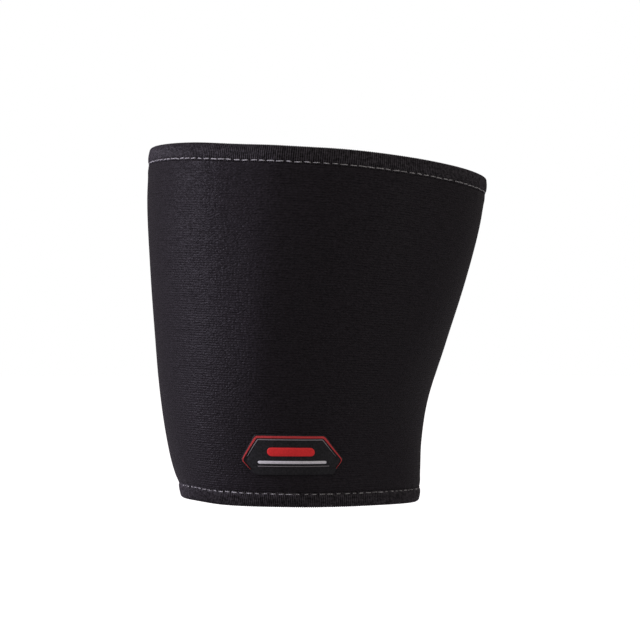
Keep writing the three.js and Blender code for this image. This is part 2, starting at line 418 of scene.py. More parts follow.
def jersey_finish():
    """Knitted rows, in a tone that varies by loop, yarn and dash."""
    finish, tree, shader = new_finish("black_jersey", Specular_IOR_Level=0.045)
    cloth = place(tree, "ShaderNodeUVMap", uv_map=CLOTH_MAP).outputs[0]
    knit = use_group(tree, rows_of_loops, Map=cloth, Row=1.32 * MM, Column=1.9 * MM, Lean=0.2)
    loop = use_group(tree, rows_of_loops, Map=cloth, Row=0.66 * MM, Column=0.75 * MM, Lean=0)
    yarn = use_group(tree, fibres, Map=cloth, Length=1.7 * MM, Width=0.8 * MM)
    dash = use_group(tree, fibres, Map=cloth, Length=7 * MM, Width=0.9 * MM)
    tone = weighted(tree, (dash["Streak"], 0.25), (yarn["Streak"], 0.32), (loop["Chance"], 0.3))
    body = blend(tree, tone, JERSEY_SHADE, JERSEY_TINT)
    hairs = reckon(tree, "MULTIPLY", yarn["Hair"], JERSEY_HAIRS)
    tree.links.new(blend(tree, hairs, body, JERSEY_HAIR), shader["Base Color"])
    tree.links.new(between(tree, *JERSEY_ROUGHNESS, yarn["Streak"]), shader["Roughness"])
    raised = weighted(tree, (knit["Height"], 0.15), (dash["Streak"], 0.14), (yarn["Streak"], 0.23))
    raise_surface(tree, shader, raised, JERSEY_BUMP)
    return finish


jersey = jersey_finish()
print("finish:", jersey.name)

# %% [markdown]
# ## The foam cloth
# The tube is one sheet of 3 mm foam faced with jersey, sewn up the back. Under each tape it is squeezed
# thin, and just past the tape it swells out again in a soft roll. A cylinder with a modifier would miss
# that shoulder, so the wall's whole profile, outside and inside, is drawn first.

# %% The wall's profile
WALL = 3 * MM
HEM_FACE = -1.1 * MM
HEM_BACK = -2.9 * MM
HEM_END = HALF_LENGTH - 2.3 * MM
SHOULDER = 1.1 * MM
TUCK = 0.5 * MM
ROLL = 0.25 * MM
ROLL_AT = 3.6 * MM
ROLL_REACH = 2.6 * MM
MIDDLE_MARGIN = 15 * MM
MIDDLE_ROWS = 50


def wall_heights():
    """Rows up the wall: close together beside each tape, and wider apart in the middle."""
    beside = np.array([-0.3, 0, 0.2, 0.4, 0.6, 0.8, 1, 1.4, 1.9, 2.5, 3.2, 4, 5, 6.5, 9, 12]) * MM
    middle = np.linspace(BOTTOM_TAPE_EDGE + MIDDLE_MARGIN, TOP_TAPE_EDGE - MIDDLE_MARGIN, MIDDLE_ROWS)
    lower = BOTTOM_TAPE_EDGE + beside
    upper = (TOP_TAPE_EDGE - beside)[::-1]
    return np.concatenate([[-HEM_END], lower, middle, upper, [HEM_END]])


def wall_profile():
    """The wall as a closed line of offsets and heights."""
    heights = wall_heights()
    past_tape = np.minimum(TOP_TAPE_EDGE - heights, heights - BOTTOM_TAPE_EDGE)
    swollen = fade(past_tape, -TUCK, SHOULDER - TUCK)
    roll = ROLL * np.exp(-(((past_tape - ROLL_AT) / ROLL_REACH) ** 2))
    outside = HEM_FACE * (1 - swollen) + roll * swollen
    inside = HEM_BACK * (1 - swollen) - WALL * swollen
    return [*zip(outside, heights), *list(zip(inside, heights))[::-1]]


print(f"wall profile of {len(wall_profile())} points")

# %% [markdown]
# A ring such as the tube is simple on a plain round drum: its profile is drawn once and spun. One sector
# is spun, and the same operator then copies it round, so that every sector is alike.

# %% Spinning the tube on a drum
CLOTH_DRUM = 88 * MM
CLOTH_STEPS = 25
SECTORS = 16
SAME_PLACE = 0.01 * MM
AXIS = {"cent": (0, 0, 0), "axis": (0, 0, 1)}


def everything(bm):
    """All that a bmesh holds, as its operators take it."""
    return bm.verts[:] + bm.edges[:] + bm.faces[:]


def copied_round(bm, count):
    """Repeats all that a bmesh holds, so that it stands evenly round the axis that many times."""
    turn = math.tau * (count - 1) / count
    bmesh.ops.spin(bm, geom=everything(bm), angle=turn, steps=count - 1, use_duplicate=True, **AXIS)


def spun_ring(profile, drum, steps_per_sector):
    """A closed profile of offsets and heights, spun round a drum: one sector, and then its copies."""
    bm = bmesh.new()
    corners = [bm.verts.new((0, -(drum + offset), height)) for offset, height in profile]
    sides = [bm.edges.new(pair) for pair in zip(corners, corners[1:] + corners[:1])]
    sector = math.tau / SECTORS
    bmesh.ops.spin(bm, geom=corners + sides, angle=sector, steps=steps_per_sector, **AXIS)
    copied_round(bm, SECTORS)
    bmesh.ops.remove_doubles(bm, verts=bm.verts, dist=SAME_PLACE)
    bmesh.ops.recalc_face_normals(bm, faces=bm.faces)
    return bm


cloth_ring = spun_ring(wall_profile(), CLOTH_DRUM, CLOTH_STEPS)
print(f"ring of {len(cloth_ring.faces)} faces")

# %% [markdown]
# The ring is then moulded, which moves every vertex to the same angle, height and offset on the sleeve.
# A lattice could bend it too, but would round off the fine edges. The UV map is laid from the drum, in
# metres of cloth, so that a knit keeps its scale all the way round.

# %% Moulding the tube to the sleeve
def coordinates(mesh):
    """The places of a mesh's vertices, a row each."""
    spots = np.empty(len(mesh.vertices) * 3)
    mesh.vertices.foreach_get("co", spots)
    return spots.reshape(-1, 3)


def drum_places(mesh, drum):
    """Each vertex's angle, height and offset on its drum."""
    x, y, z = coordinates(mesh).T
    return np.arctan2(x, -y), z, np.hypot(x, y) - drum


def mould(mesh, angle, height, offset):
    """Moves every vertex to its place on the sleeve."""
    places = on_sleeve(angle, height, offset + relief(angle, height))
    mesh.vertices.foreach_set("co", places.ravel())
    mesh.update()


def lay_map(mesh, angle, height, drum):
    """A UV map in metres: along the ring, and up it. A face that crosses the back stays in one piece."""
    vertex = np.empty(len(mesh.loops), np.int32)
    mesh.loops.foreach_get("vertex_index", vertex)
    start = np.empty(len(mesh.polygons), np.int32)
    mesh.polygons.foreach_get("loop_start", start)
    size = np.empty(len(mesh.polygons), np.int32)
    mesh.polygons.foreach_get("loop_total", size)
    first = np.repeat(angle[vertex[start]], size)
    whole = first + wrapped(angle[vertex] - first)
    layer = mesh.uv_layers.new(name=CLOTH_MAP)
    layer.uv.foreach_set("vector", np.stack([whole * drum, height[vertex]], axis=1).ravel())


def put_on(piece, drum, places=None):
    """Maps and moulds a piece that was made on a drum, from its own places there or from others."""
    angle, height, offset = places or drum_places(piece.data, drum)
    lay_map(piece.data, angle, height, drum)
    mould(piece.data, angle, height, offset)


def new_piece(name, bm, finish):
    """A mesh object that rides on the frame's one body and takes a finish."""
    mesh = bpy.data.meshes.new(name)
    bm.to_mesh(mesh)
    bm.free()
    mesh.shade_smooth()
    mesh.materials.append(finish)
    piece = bpy.data.objects.new(name, mesh)
    scene.collection.objects.link(piece)
    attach(piece, "root")
    return piece


def triangles(piece):
    """How many triangles a piece has."""
    return sum(len(face.vertices) - 2 for face in piece.data.polygons)


tube = new_piece("foam_cloth_tube", cloth_ring, jersey)
put_on(tube, CLOTH_DRUM)
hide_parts("sleeve_wall")
print(f"{tube.name}: {triangles(tube)} triangles")

# %% [markdown]
# ## The tape finish
# The binding is a woven tape with fine ribs across it. The ribs are real geometry here, and a value on
# each vertex tells the finish where it is on its rib, so that shade is painted into the dips between ribs
# and a paler highlight is painted onto their crests. Yarn and picks vary the tone and raise the surface,
# and a power deepens the dark places, the painted shade among them.

# %% Black tape
RIB_SHADE_MASK = "rib"
# The dark end is reached as painted shade in the dips between ribs, and the pale end as painted highlight
# on the crests
TAPE_SHADE = (0.002, 0.0018, 0.002)
TAPE_TINT = (0.061, 0.056, 0.061)
TAPE_HAIR = (0.06, 0.056, 0.06)
TAPE_HAIRS = 0.4
TAPE_ROUGHNESS = (0.33, 0.43)
TAPE_BUMP = 0.9 * MM
TAPE_POWER = 2


def tape_finish():
    """Ribs with painted highlights on their crests and painted shade in their dips, with yarn and picks
    over them.
    """
    finish, tree, shader = new_finish("black_tape", Specular_IOR_Level=0.03)
    cloth = place(tree, "ShaderNodeUVMap", uv_map=CLOTH_MAP).outputs[0]
    rib = place(tree, "ShaderNodeAttribute", attribute_name=RIB_SHADE_MASK).outputs["Fac"]
    picks = use_group(tree, rows_of_loops, Map=cloth, Row=0.75 * MM, Column=1.2 * MM, Lean=1)
    yarn = use_group(tree, fibres, Map=cloth, Length=2.4 * MM, Width=1.8 * MM)
    fine = weighted(tree, (yarn["Streak"], 0.3), (picks["Chance"], 0.3))
    # The rib value darkens the dips and lightens the crests: painted shade and painted highlight
    tone = reckon(tree, "POWER", reckon(tree, "MULTIPLY_ADD", rib, 0.65, fine), TAPE_POWER)
    body = blend(tree, tone, TAPE_SHADE, TAPE_TINT)
    hairs = reckon(tree, "MULTIPLY", yarn["Hair"], TAPE_HAIRS)
    tree.links.new(blend(tree, hairs, body, TAPE_HAIR), shader["Base Color"])
    tree.links.new(between(tree, *TAPE_ROUGHNESS, yarn["Streak"]), shader["Roughness"])
    raise_surface(tree, shader, fine, TAPE_BUMP)
    return finish


tape = tape_finish()
print("finish:", tape.name)

# %% [markdown]
# ## The two bindings
# Each end of the tube is wrapped in a folded tape: an outer flap, a round fold and an inner flap. The row
# of stitches pulls a small groove into it near its edge, and the edge itself turns in. It could be swept
# along a curve, but a profile that is spun like the tube follows the same sections exactly.

# %% The folded tape's profile
TAPE_FOLD = 4 * MM
TAPE = 0.8 * MM
FOLD_POINTS = 9
STITCH_GROOVE = 0.4 * MM
GROOVE_REACH = 0.55 * MM
EDGE_TURN = 0.28 * MM
EDGE_REACH = 0.16 * MM
CROWN = 0.42 * MM


def flap_face(from_edge, width):
    """How far a flap's face stands out at each distance from its edge: a low crown and a groove."""
    t = np.clip(from_edge / (width - TAPE_FOLD / 2), 0, 1)
    groove = STITCH_GROOVE * np.exp(-(((from_edge - STITCH_MARGIN) / GROOVE_REACH) ** 2))
    turned_in = EDGE_TURN * np.exp(-from_edge / EDGE_REACH)
    return CROWN * np.sin(np.pi * t) - groove - turned_in


def tape_profile(width, end):
    """The folded tape as a closed line of offsets and heights. End is 1 at the top and -1 below."""
    from_edge = np.array([0, 0.15, 0.35, 0.6, 0.9, 1.2, 1.6, 2.2, 3.2, 4.4, 5.4, 6.2]) * MM
    flap = flap_face(from_edge, width)
    edge = HALF_LENGTH - width
    arc = np.linspace(0, np.pi, FOLD_POINTS)[1:-1]
    radius = TAPE_FOLD / 2
    outside = list(zip(flap, edge + from_edge))
    fold = list(zip(radius * (np.cos(arc) - 1), HALF_LENGTH - radius + radius * np.sin(arc)))
    inside = list(zip(-TAPE_FOLD - flap, edge + from_edge))[::-1]
    hidden = [
        (TAPE - TAPE_FOLD, edge),
        (TAPE - TAPE_FOLD, HALF_LENGTH - radius),
        (-radius, HALF_LENGTH - TAPE),
        (-TAPE, HALF_LENGTH - radius),
        (-TAPE, edge),
    ]
    return [(offset, end * height) for offset, height in outside + fold + inside + hidden]


print(f"tape profile of {len(tape_profile(TOP_TAPE_WIDTH, 1))} points")

# %% [markdown]
# The ring has four steps for every rib. The ribs are raised on the drum, along the ring's own normals, so
# that they run over the fold as well, and then the ring is moulded.

# %% The tapes
RIB_PITCH = 1.2 * MM
RIB_RISE = 0.19 * MM
STEPS_PER_RIB = 4
TOP_DRUM = 98.7 * MM
BOTTOM_DRUM = 71.8 * MM


def raise_ribs(mesh, ribs):
    """Fine ribs across a ring, and a value on each vertex that says where it is on its rib."""
    spots = coordinates(mesh)
    normals = np.empty(len(mesh.vertices) * 3)
    mesh.vertex_normals.foreach_get("vector", normals)
    swing = np.cos(ribs * np.arctan2(spots[:, 0], -spots[:, 1]))
    raised = spots + normals.reshape(-1, 3) * RIB_RISE * swing[:, None]
    mesh.vertices.foreach_set("co", raised.ravel())
    # The tape's finish turns this value into painted shade in the dips and painted highlight on the
    # crests
    crest = mesh.attributes.new(RIB_SHADE_MASK, "FLOAT", "POINT")
    crest.data.foreach_set("value", (swing + 1) / 2)
    mesh.update()


def binding(name, node, width, end, drum):
    """One folded tape with its ribs, in place of its node."""
    ribs_per_sector = round(math.tau * drum / RIB_PITCH / SECTORS)
    ribs = ribs_per_sector * SECTORS
    ring = spun_ring(tape_profile(width, end), drum, STEPS_PER_RIB * ribs_per_sector)
    piece = new_piece(name, ring, tape)
    raise_ribs(piece.data, ribs)
    put_on(piece, drum)
    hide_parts(node)
    print(f"{name}: {ribs} ribs, {triangles(piece)} triangles")
    return piece


top_tape = binding("top_tape", "top_binding", TOP_TAPE_WIDTH, 1, TOP_DRUM)
bottom_tape = binding("bottom_tape", "bottom_binding", BOTTOM_TAPE_WIDTH, -1, BOTTOM_DRUM)

# %% [markdown]
# ## The thread finish
# The hems are sewn with pale grey thread of twisted plies. A slanting repeat on the map stands for the
# twist: it raises the plies, and it paints shade into the grooves between them. The fibres break up that
# tone, because clean grey would read as plastic. The back is sewn with a black thread of the same kind,
# so the two colours are given to one recipe.

# %% Pale thread
THREAD_ROUGHNESS = (0.5, 0.8)
TWIST_BUMP = 0.1 * MM
TWIST_STRENGTH = 0.6


def thread_finish(name, shade, tint):
    """A twisted thread between two colours."""
    finish, tree, shader = new_finish(name, Specular_IOR_Level=0.1, Sheen_Weight=0.3, Sheen_Roughness=0.4)
    cloth = place(tree, "ShaderNodeUVMap", uv_map=CLOTH_MAP).outputs[0]
    twist = use_group(tree, rows_of_loops, Map=cloth, Row=0.4 * MM, Column=0.7 * MM, Lean=2)["Height"]
    yarn = use_group(tree, fibres, Map=cloth, Length=0.9 * MM, Width=0.5 * MM)
    # The twist's share of the tone is painted shade in the grooves between the plies
    tone = weighted(tree, (twist, 0.3), (yarn["Streak"], 0.7))
    tree.links.new(blend(tree, tone, shade, tint), shader["Base Color"])
    tree.links.new(between(tree, *THREAD_ROUGHNESS, yarn["Streak"]), shader["Roughness"])
    raise_surface(tree, shader, twist, TWIST_BUMP, TWIST_STRENGTH)
    return finish


thread = thread_finish("pale_thread", shade=(0.05, 0.05, 0.049), tint=(0.62, 0.615, 0.6))
print("finish:", thread.name)

# %% [markdown]
# ## The stitches
# A lockstitch shows on each face as short bowed lengths of thread whose ends dive into the tape. A curve
# with a bevel would do for one, but hundreds are wanted, with few faces each. So one length is extruded
# from a small round, step by step, bowed and tapered on the way.

# %% One stitch
THREAD = 0.57 * MM
THREAD_SIDES = 6
# Along the stitch as a share of its length, out of the cloth in thread thicknesses, and its thickness
STITCH_BOW = [
    {"along": -0.5, "out": -0.75, "thick": 0.6},
    {"along": -0.4, "out": -0.1, "thick": 0.95},
    {"along": -0.17, "out": 0.2, "thick": 1},
    {"along": 0.17, "out": 0.2, "thick": 1},
    {"along": 0.4, "out": -0.1, "thick": 0.95},
    {"along": 0.5, "out": -0.75, "thick": 0.6},
]


def vertices(parts):
    """The vertices among the parts that an operator gives back."""
    return [part for part in parts if isinstance(part, bmesh.types.BMVert)]


def one_stitch(length):
    """A bowed length of thread along X, with the cloth below it in Z."""
    bm = bmesh.new()
    first = STITCH_BOW[0]
    facing = Matrix.Rotation(math.pi / 2, 4, "Y")
    start = Matrix.Translation((first["along"] * length, 0, first["out"] * THREAD)) @ facing
    radius = first["thick"] * THREAD / 2
    bmesh.ops.create_circle(bm, cap_ends=True, segments=THREAD_SIDES, radius=radius, matrix=start)
    cap = bm.faces[:][0]
    for here, there in zip(STITCH_BOW, STITCH_BOW[1:]):
        grown = bmesh.ops.extrude_face_region(bm, geom=[cap])["geom"]
        cap = next(part for part in grown if isinstance(part, bmesh.types.BMFace))
        step = ((there["along"] - here["along"]) * length, 0, (there["out"] - here["out"]) * THREAD)
        bmesh.ops.translate(bm, verts=vertices(grown), vec=step)
        middle = Matrix.Translation((-there["along"] * length, 0, -there["out"] * THREAD))
        size = there["thick"] / here["thick"]
        bmesh.ops.scale(bm, verts=vertices(grown), vec=(size, size, size), space=middle)
    bmesh.ops.recalc_face_normals(bm, faces=bm.faces)
    return bm


trial = one_stitch(length=4 * MM)
print(f"one stitch: {len(trial.faces)} faces")
trial.free()

# %% [markdown]
# The spin operator repeats that stitch round the drum as copies, outside and inside the hem. In real
# sewing no two stitches are alike, so each is nudged a little, from a seed, before the row is moulded.

# %% Rows of stitches
STITCH_STRETCH = (0.78, 1.18)
STITCH_SLIP = 0.2 * MM
STITCH_TILT = 0.05
STITCH_LIFT = 0.08 * MM
STITCH_SUNK = 0.2 * MM


def nudged(angle, height, offset, count, drum, side, seed):
    """The same places, with each stitch lengthened, shifted, turned and sunk by a little."""
    random = np.random.default_rng(seed)
    middle = (np.arange(count) * math.tau / count)[:, None]
    along = wrapped(angle.reshape(count, -1) - middle)
    stretch = random.uniform(*STITCH_STRETCH, (count, 1))
    slip = random.normal(0, STITCH_SLIP, (count, 1)) / drum
    tilt = random.normal(0, STITCH_TILT, (count, 1))
    lift = random.normal(0, STITCH_LIFT, (count, 1))
    sunk = random.uniform(0, STITCH_SUNK, (count, 1))
    turned = (middle + along * stretch + slip).ravel()
    raised = height + (along * drum * tilt + lift).ravel()
    return turned, raised, offset - side * np.repeat(sunk, along.shape[1])


def stitch_row(line, face, side, drum, pitch, length):
    """One row of stitches on a drum, and their count. Side is 1 outside the sleeve and -1 inside it."""
    bm = one_stitch(length)
    upright = Matrix.Rotation(side * math.pi / 2, 4, "X")
    spot = Matrix.Translation((0, -(drum + face), line)) @ upright
    bmesh.ops.transform(bm, matrix=spot, verts=bm.verts)
    count = round(math.tau * drum / pitch)
    copied_round(bm, count)
    return bm, count


def stitching(name, line, drum, pitch, length, sink, seed):
    """The outside and inside rows of one hem."""
    rows = []
    for where, side, face in (("outside", 1, -sink), ("inside", -1, sink - TAPE_FOLD)):
        bm, count = stitch_row(line, face, side, drum, pitch, length)
        row = new_piece(f"{name}_{where}", bm, thread)
        places = nudged(*drum_places(row.data, drum), count, drum, side, seed + side)
        put_on(row, drum, places)
        rows.append(row)
        print(f"{row.name}: {count} stitches, {triangles(row)} triangles")
    return rows


top_stitches = stitching(
    "top_stitches",
    line=TOP_STITCH_LINE,
    drum=TOP_DRUM,
    pitch=5 * MM,
    length=4.2 * MM,
    sink=0.02 * MM,
    seed=21,
)
bottom_stitches = stitching(
    "bottom_stitches",
    line=BOTTOM_STITCH_LINE,
    drum=BOTTOM_DRUM,
    pitch=4.7 * MM,
    length=3.9 * MM,
    sink=0.29 * MM,
    seed=42,
)

# %% [markdown]
# ## The back seam
# The edges of the sheet meet at the back, where a zigzag of black thread holds them side by side, so that
# the seam stays flat. It can't be seen from the front, so it is plain: the same short length of thread,
# copied up the groove, leaning left and right in turn.

# %% Black thread and the zigzag
SEAM_STITCH = 5.2 * MM
SEAM_CLIMB = 2.2 * MM
SEAM_LEAN = math.atan2(SEAM_CLIMB, SEAM_STITCH)
SEAM_END = 1.5 * MM


def zigzag(drum):
    """Leaning stitches one above the other, between the tapes, at the back of a drum."""
    bm = one_stitch(SEAM_STITCH)
    pattern = everything(bm)
    heights = np.arange(BOTTOM_TAPE_EDGE + SEAM_END, TOP_TAPE_EDGE - SEAM_END, SEAM_CLIMB)
    for step, height in enumerate(heights):
        copy = bmesh.ops.duplicate(bm, geom=pattern)["geom"]
        lean = Matrix.Rotation(SEAM_LEAN * (-1) ** step, 4, "Y")
        spot = Matrix.Translation((0, drum, height)) @ lean @ Matrix.Rotation(-math.pi / 2, 4, "X")
        bmesh.ops.transform(bm, matrix=spot, verts=vertices(copy))
    bmesh.ops.delete(bm, geom=vertices(pattern), context="VERTS")
    return bm, len(heights)


black_thread = thread_finish("black_thread", shade=(0.004, 0.0036, 0.004), tint=(0.05, 0.046, 0.05))
seam, count = zigzag(CLOTH_DRUM)
back_seam = new_piece("back_seam", seam, black_thread)
put_on(back_seam, CLOTH_DRUM)
print(f"{back_seam.name}: {count} stitches, {triangles(back_seam)} triangles")

# %% [markdown]
# ## How the cloth was cut
# Before sewing, the tube is a flat trapezium of cloth, about a tenth narrower than the stretched tube, so
# that it grips.

# %% [markdown]
# ## The rubber finishes
# The badge is moulded from soft rubber: black, two reds, pale and grey. All of them share the same satin
# skin: a fine grain, and patches that are a little duller from handling. A plain colour would look like
# paper, so the skin is a group, and only the colours and the gloss differ.

# %% Moulded grain and the rubbers
PATCH_SCALE = 160
GRAIN_SIZE = 0.9 * MM
GRAIN_BUMP = 0.12 * MM
GRAIN_STRENGTH = 0.5
RUBBER_ROUGHNESS = (0.42, 0.67)


def grain_group():
    """The skin of moulded rubber: fine grain, and broad patches where it is a little duller."""
    tree, given, gives = new_group("moulded grain", {"Spot": VECTOR, "Size": VALUE}, ["Grain", "Patch"])
    scale = reckon(tree, "DIVIDE", 1, given["Size"])
    grain = stretched(tree, *NOISE_SPAN, noise(tree, given["Spot"], scale, detail=3))
    tree.links.new(grain, gives["Grain"])
    tree.links.new(noise(tree, given["Spot"], PATCH_SCALE, detail=2), gives["Patch"])
    return tree


def rubber_finish(name, shade, tint, gloss):
    """A moulded rubber between two close colours."""
    finish, tree, shader = new_finish(name, Specular_IOR_Level=gloss)
    spot = place(tree, "ShaderNodeTexCoord").outputs["Object"]
    skin = use_group(tree, moulded_grain, Spot=spot, Size=GRAIN_SIZE)
    tone = weighted(tree, (skin["Patch"], 0.3), (skin["Grain"], 0.7))
    tree.links.new(blend(tree, tone, shade, tint), shader["Base Color"])
    tree.links.new(between(tree, *RUBBER_ROUGHNESS, skin["Patch"]), shader["Roughness"])
    raise_surface(tree, shader, skin["Grain"], GRAIN_BUMP, GRAIN_STRENGTH)
    print("finish:", name)
    return finish


moulded_grain = grain_group()
black_rubber = rubber_finish(
    "black_badge_rubber", shade=(0.0018, 0.0018, 0.0021), tint=(0.0255, 0.0255, 0.0272), gloss=0.2
)
red_rubber = rubber_finish(
    "red_badge_rubber", shade=(0.68, 0.018, 0.02), tint=(0.86, 0.032, 0.032), gloss=0.3
)
dull_red = rubber_finish(
    "dull_red_badge_rubber", shade=(0.455, 0.04, 0.042), tint=(0.57, 0.052, 0.054), gloss=0.2
)
pale_rubber = rubber_finish(
    "pale_badge_rubber", shade=(0.58, 0.58, 0.6), tint=(0.76, 0.76, 0.77), gloss=0.3
)
grey_rubber = rubber_finish(
    "grey_badge_rubber", shade=(0.17, 0.16, 0.165), tint=(0.24, 0.225, 0.23), gloss=0.3
)

# %% [markdown]
# ## The badge
# The badge is a thin hexagonal plate with low raised work on it: a red line round its upper part, fine
# grey lines, a panel, and two plain bars. Each is an outline pulled up to its height, with its corners
# and its rim rounded by bevels. It is cut across every millimetre or so, which lets the flat piece bend,
# and then laid on the cloth. A shrinkwrap would flatten the low relief, so the bend is worked out.

# %% A flat shape with round edges
CORNER_SEGMENTS = 5
RIM_SEGMENTS = 3
BEVEL = {"affect": "EDGES", "profile": 0.5, "material": -1, "clamp_overlap": True}


def raised_shape(outline, low, high, corner, rim):
    """An outline in millimetres pulled up between two heights, with round corners and a round rim."""
    bm = bmesh.new()
    base = bm.faces.new([bm.verts.new((x * MM, y * MM, low * MM)) for x, y in outline])
    grown = bmesh.ops.extrude_face_region(bm, geom=[base])["geom"]
    bmesh.ops.translate(bm, verts=vertices(grown), vec=(0, 0, (high - low) * MM))
    bmesh.ops.recalc_face_normals(bm, faces=bm.faces)
    if corner:
        upright = [e for e in bm.edges if abs(e.verts[0].co.z - e.verts[1].co.z) > SAME_PLACE]
        bmesh.ops.bevel(bm, geom=upright, offset=corner * MM, segments=CORNER_SEGMENTS, **BEVEL)
    top = [e for e in bm.edges if min(v.co.z for v in e.verts) > high * MM - SAME_PLACE]
    bmesh.ops.bevel(bm, geom=top, offset=rim * MM, segments=RIM_SEGMENTS, **BEVEL)
    return bm


BADGE_WIDTH, TOP_WIDTH, BOTTOM_WIDTH = 58.5, 38, 44.5
TOP_RISE, BOTTOM_DROP = 14.3, 8.4
HEXAGON = np.array([
    (-BOTTOM_WIDTH / 2, -BOTTOM_DROP),
    (-BADGE_WIDTH / 2, 0),
    (-TOP_WIDTH / 2, TOP_RISE),
    (TOP_WIDTH / 2, TOP_RISE),
    (BADGE_WIDTH / 2, 0),
    (BOTTOM_WIDTH / 2, -BOTTOM_DROP),
])
print(f"hexagon {BADGE_WIDTH} mm wide and {TOP_RISE + BOTTOM_DROP:.1f} mm high")

# %% Bending it onto the cloth
BADGE_ANGLE = -0.006
BADGE_HEIGHT = -72.5 * MM
BADGE_TURN = 0.018
BEND_STEP = 1.5 * MM
CUT_REACH = 0.001 * MM
PLATE_LOW, PLATE_FACE = -0.2, 1.0


def cut_to_bend(bm):
    """Cuts a flat shape across, up and down, so that it can follow a curve."""
    for axis, across in enumerate(((1, 0, 0), (0, 1, 0))):
        reach = [vert.co[axis] for vert in bm.verts]
        for at in np.arange(min(reach) + BEND_STEP, max(reach), BEND_STEP):
            point = [at * part for part in across]
            bmesh.ops.bisect_plane(
                bm, geom=everything(bm), dist=CUT_REACH, plane_co=point, plane_no=across
            )


def lay_on_badge(mesh):
    """Bends a flat shape over the sleeve, about the middle of the badge's widest line."""
    x, y, z = coordinates(mesh).T
    across = x * math.cos(BADGE_TURN) - y * math.sin(BADGE_TURN)
    up = x * math.sin(BADGE_TURN) + y * math.cos(BADGE_TURN)
    left, right = section(np.array([BADGE_HEIGHT]))[:2]
    mould(mesh, BADGE_ANGLE + across * 2 / (right - left), BADGE_HEIGHT + up, z)


def badge_piece(name, finish, outline, low, high, corner=0, rim=0.2):
    """One raised shape of the badge. Its sizes are in millimetres."""
    bm = raised_shape(outline, low, high, corner, rim)
    cut_to_bend(bm)
    piece = new_piece(name, bm, finish)
    lay_on_badge(piece.data)
    print(f"{name}: {triangles(piece)} triangles")
    return piece


plate = badge_piece(
    "badge_base", black_rubber, HEXAGON, PLATE_LOW, PLATE_FACE, corner=0.7, rim=0.3
)
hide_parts("badge_plate")

# %% [markdown]
# ### The lines
# The red line follows the hexagon's edge from part of the way down one lower side, over the top, to the
# other lower side, and thins out at both ends. So its outline is the hexagon drawn in twice, by its
# margin and by its margin and width, and joined at the ends. The grey line is made the same way.

# %% Drawing a line inside the hexagon
CURVE_POINTS = 5


def drawn_in(margin, points=HEXAGON):
    """An open line of corners, moved inwards by a margin, in millimetres."""
    along = np.diff(points, axis=0)
    along /= np.linalg.norm(along, axis=1, keepdims=True)
    inward = np.stack([along[:, 1], -along[:, 0]], axis=1)
    before = np.vstack([inward[:1], inward])
    after = np.vstack([inward, inward[-1:]])
    mitre = (before + after) / (1 + (before * after).sum(axis=1))[:, None]
    return points + mitre * margin


def shortened(line, share):
    """The same line with its first and last lengths cut to a share."""
    line = line.copy()
    line[0] = line[1] + (line[0] - line[1]) * share
    line[-1] = line[-2] + (line[-1] - line[-2]) * share
    return line


def rounded(line, radius):
    """The same line with a small curve in place of each corner between its ends."""
    curve = [line[0]]
    for before, corner, after in zip(line, line[1:], line[2:]):
        arrive = (before - corner) / np.linalg.norm(before - corner)
        leave = (after - corner) / np.linalg.norm(after - corner)
        reach = radius * math.sqrt((1 + arrive @ leave) / (1 - arrive @ leave))
        for t in np.linspace(0, 1, CURVE_POINTS):
            curve.append(corner + reach * ((1 - t) ** 2 * arrive + t**2 * leave))
    return np.array([*curve, line[-1]])


def tapered_strip(outer, inner, shares):
    """The outline between two lines, whose distance at each corner is cut to a share."""
    return np.vstack([outer, (outer + (inner - outer) * np.array(shares)[:, None])[::-1]])


drawn = drawn_in(1.0)
print(f"drawn in by 1 mm, the hexagon is {np.ptp(drawn[:, 0]):.1f} mm wide")

# %% Red line and grey line
ROOT = 0.05
RED_MARGIN, RED_WIDTH, RED_REACH = 0.65, 1.15, 0.64
RED_OUTER_CURVE, RED_INNER_CURVE = 2.2, 1.2
RED_END, RED_TIP = 0.05, (0.2, 0.55)
GREY_MARGIN, GREY_WIDTH, GREY_REACH, GREY_END = 2.4, 0.6, 0.72, 0.3
outer_line = rounded(shortened(drawn_in(RED_MARGIN), RED_REACH), RED_OUTER_CURVE)
inner_line = rounded(shortened(drawn_in(RED_MARGIN + RED_WIDTH), RED_REACH), RED_INNER_CURVE)
growing = [RED_END, *np.linspace(*RED_TIP, CURVE_POINTS)]
red_shares = [*growing, *[1] * 2 * CURVE_POINTS, *growing[::-1]]
red_outline = tapered_strip(outer_line, inner_line, red_shares)
red_line = badge_piece("red_line", dull_red, red_outline, PLATE_FACE - ROOT, 1.5)
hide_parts("badge_red_line")
UPPER = HEXAGON[1:5]
grey_outline = tapered_strip(
    shortened(drawn_in(GREY_MARGIN, UPPER), GREY_REACH),
    shortened(drawn_in(GREY_MARGIN + GREY_WIDTH, UPPER), GREY_REACH),
    (GREY_END, 1, 1, GREY_END),
)
badge_piece("grey_line", grey_rubber, grey_outline, PLATE_FACE - ROOT, 1.4, rim=0.18)

# %% [markdown]
# ### The panel and the bars
# Inside the lines lies a low panel, cut off straight at the bottom by a thin grey rule. On it are two
# plain bars, one red and one pale, with ends rounded by bevelling the corners of a long box.

# %% Panel, rule and bars
PANEL_MARGIN, PANEL_BOTTOM, PANEL_FACE = 3.4, -2.9, 1.25


def box_outline(x, y, width, height):
    """The four corners of an upright box about its middle, anticlockwise."""
    half = np.array([width, height]) / 2
    return [(x + sx * half[0], y + sy * half[1]) for sx, sy in ((-1, -1), (1, -1), (1, 1), (-1, 1))]


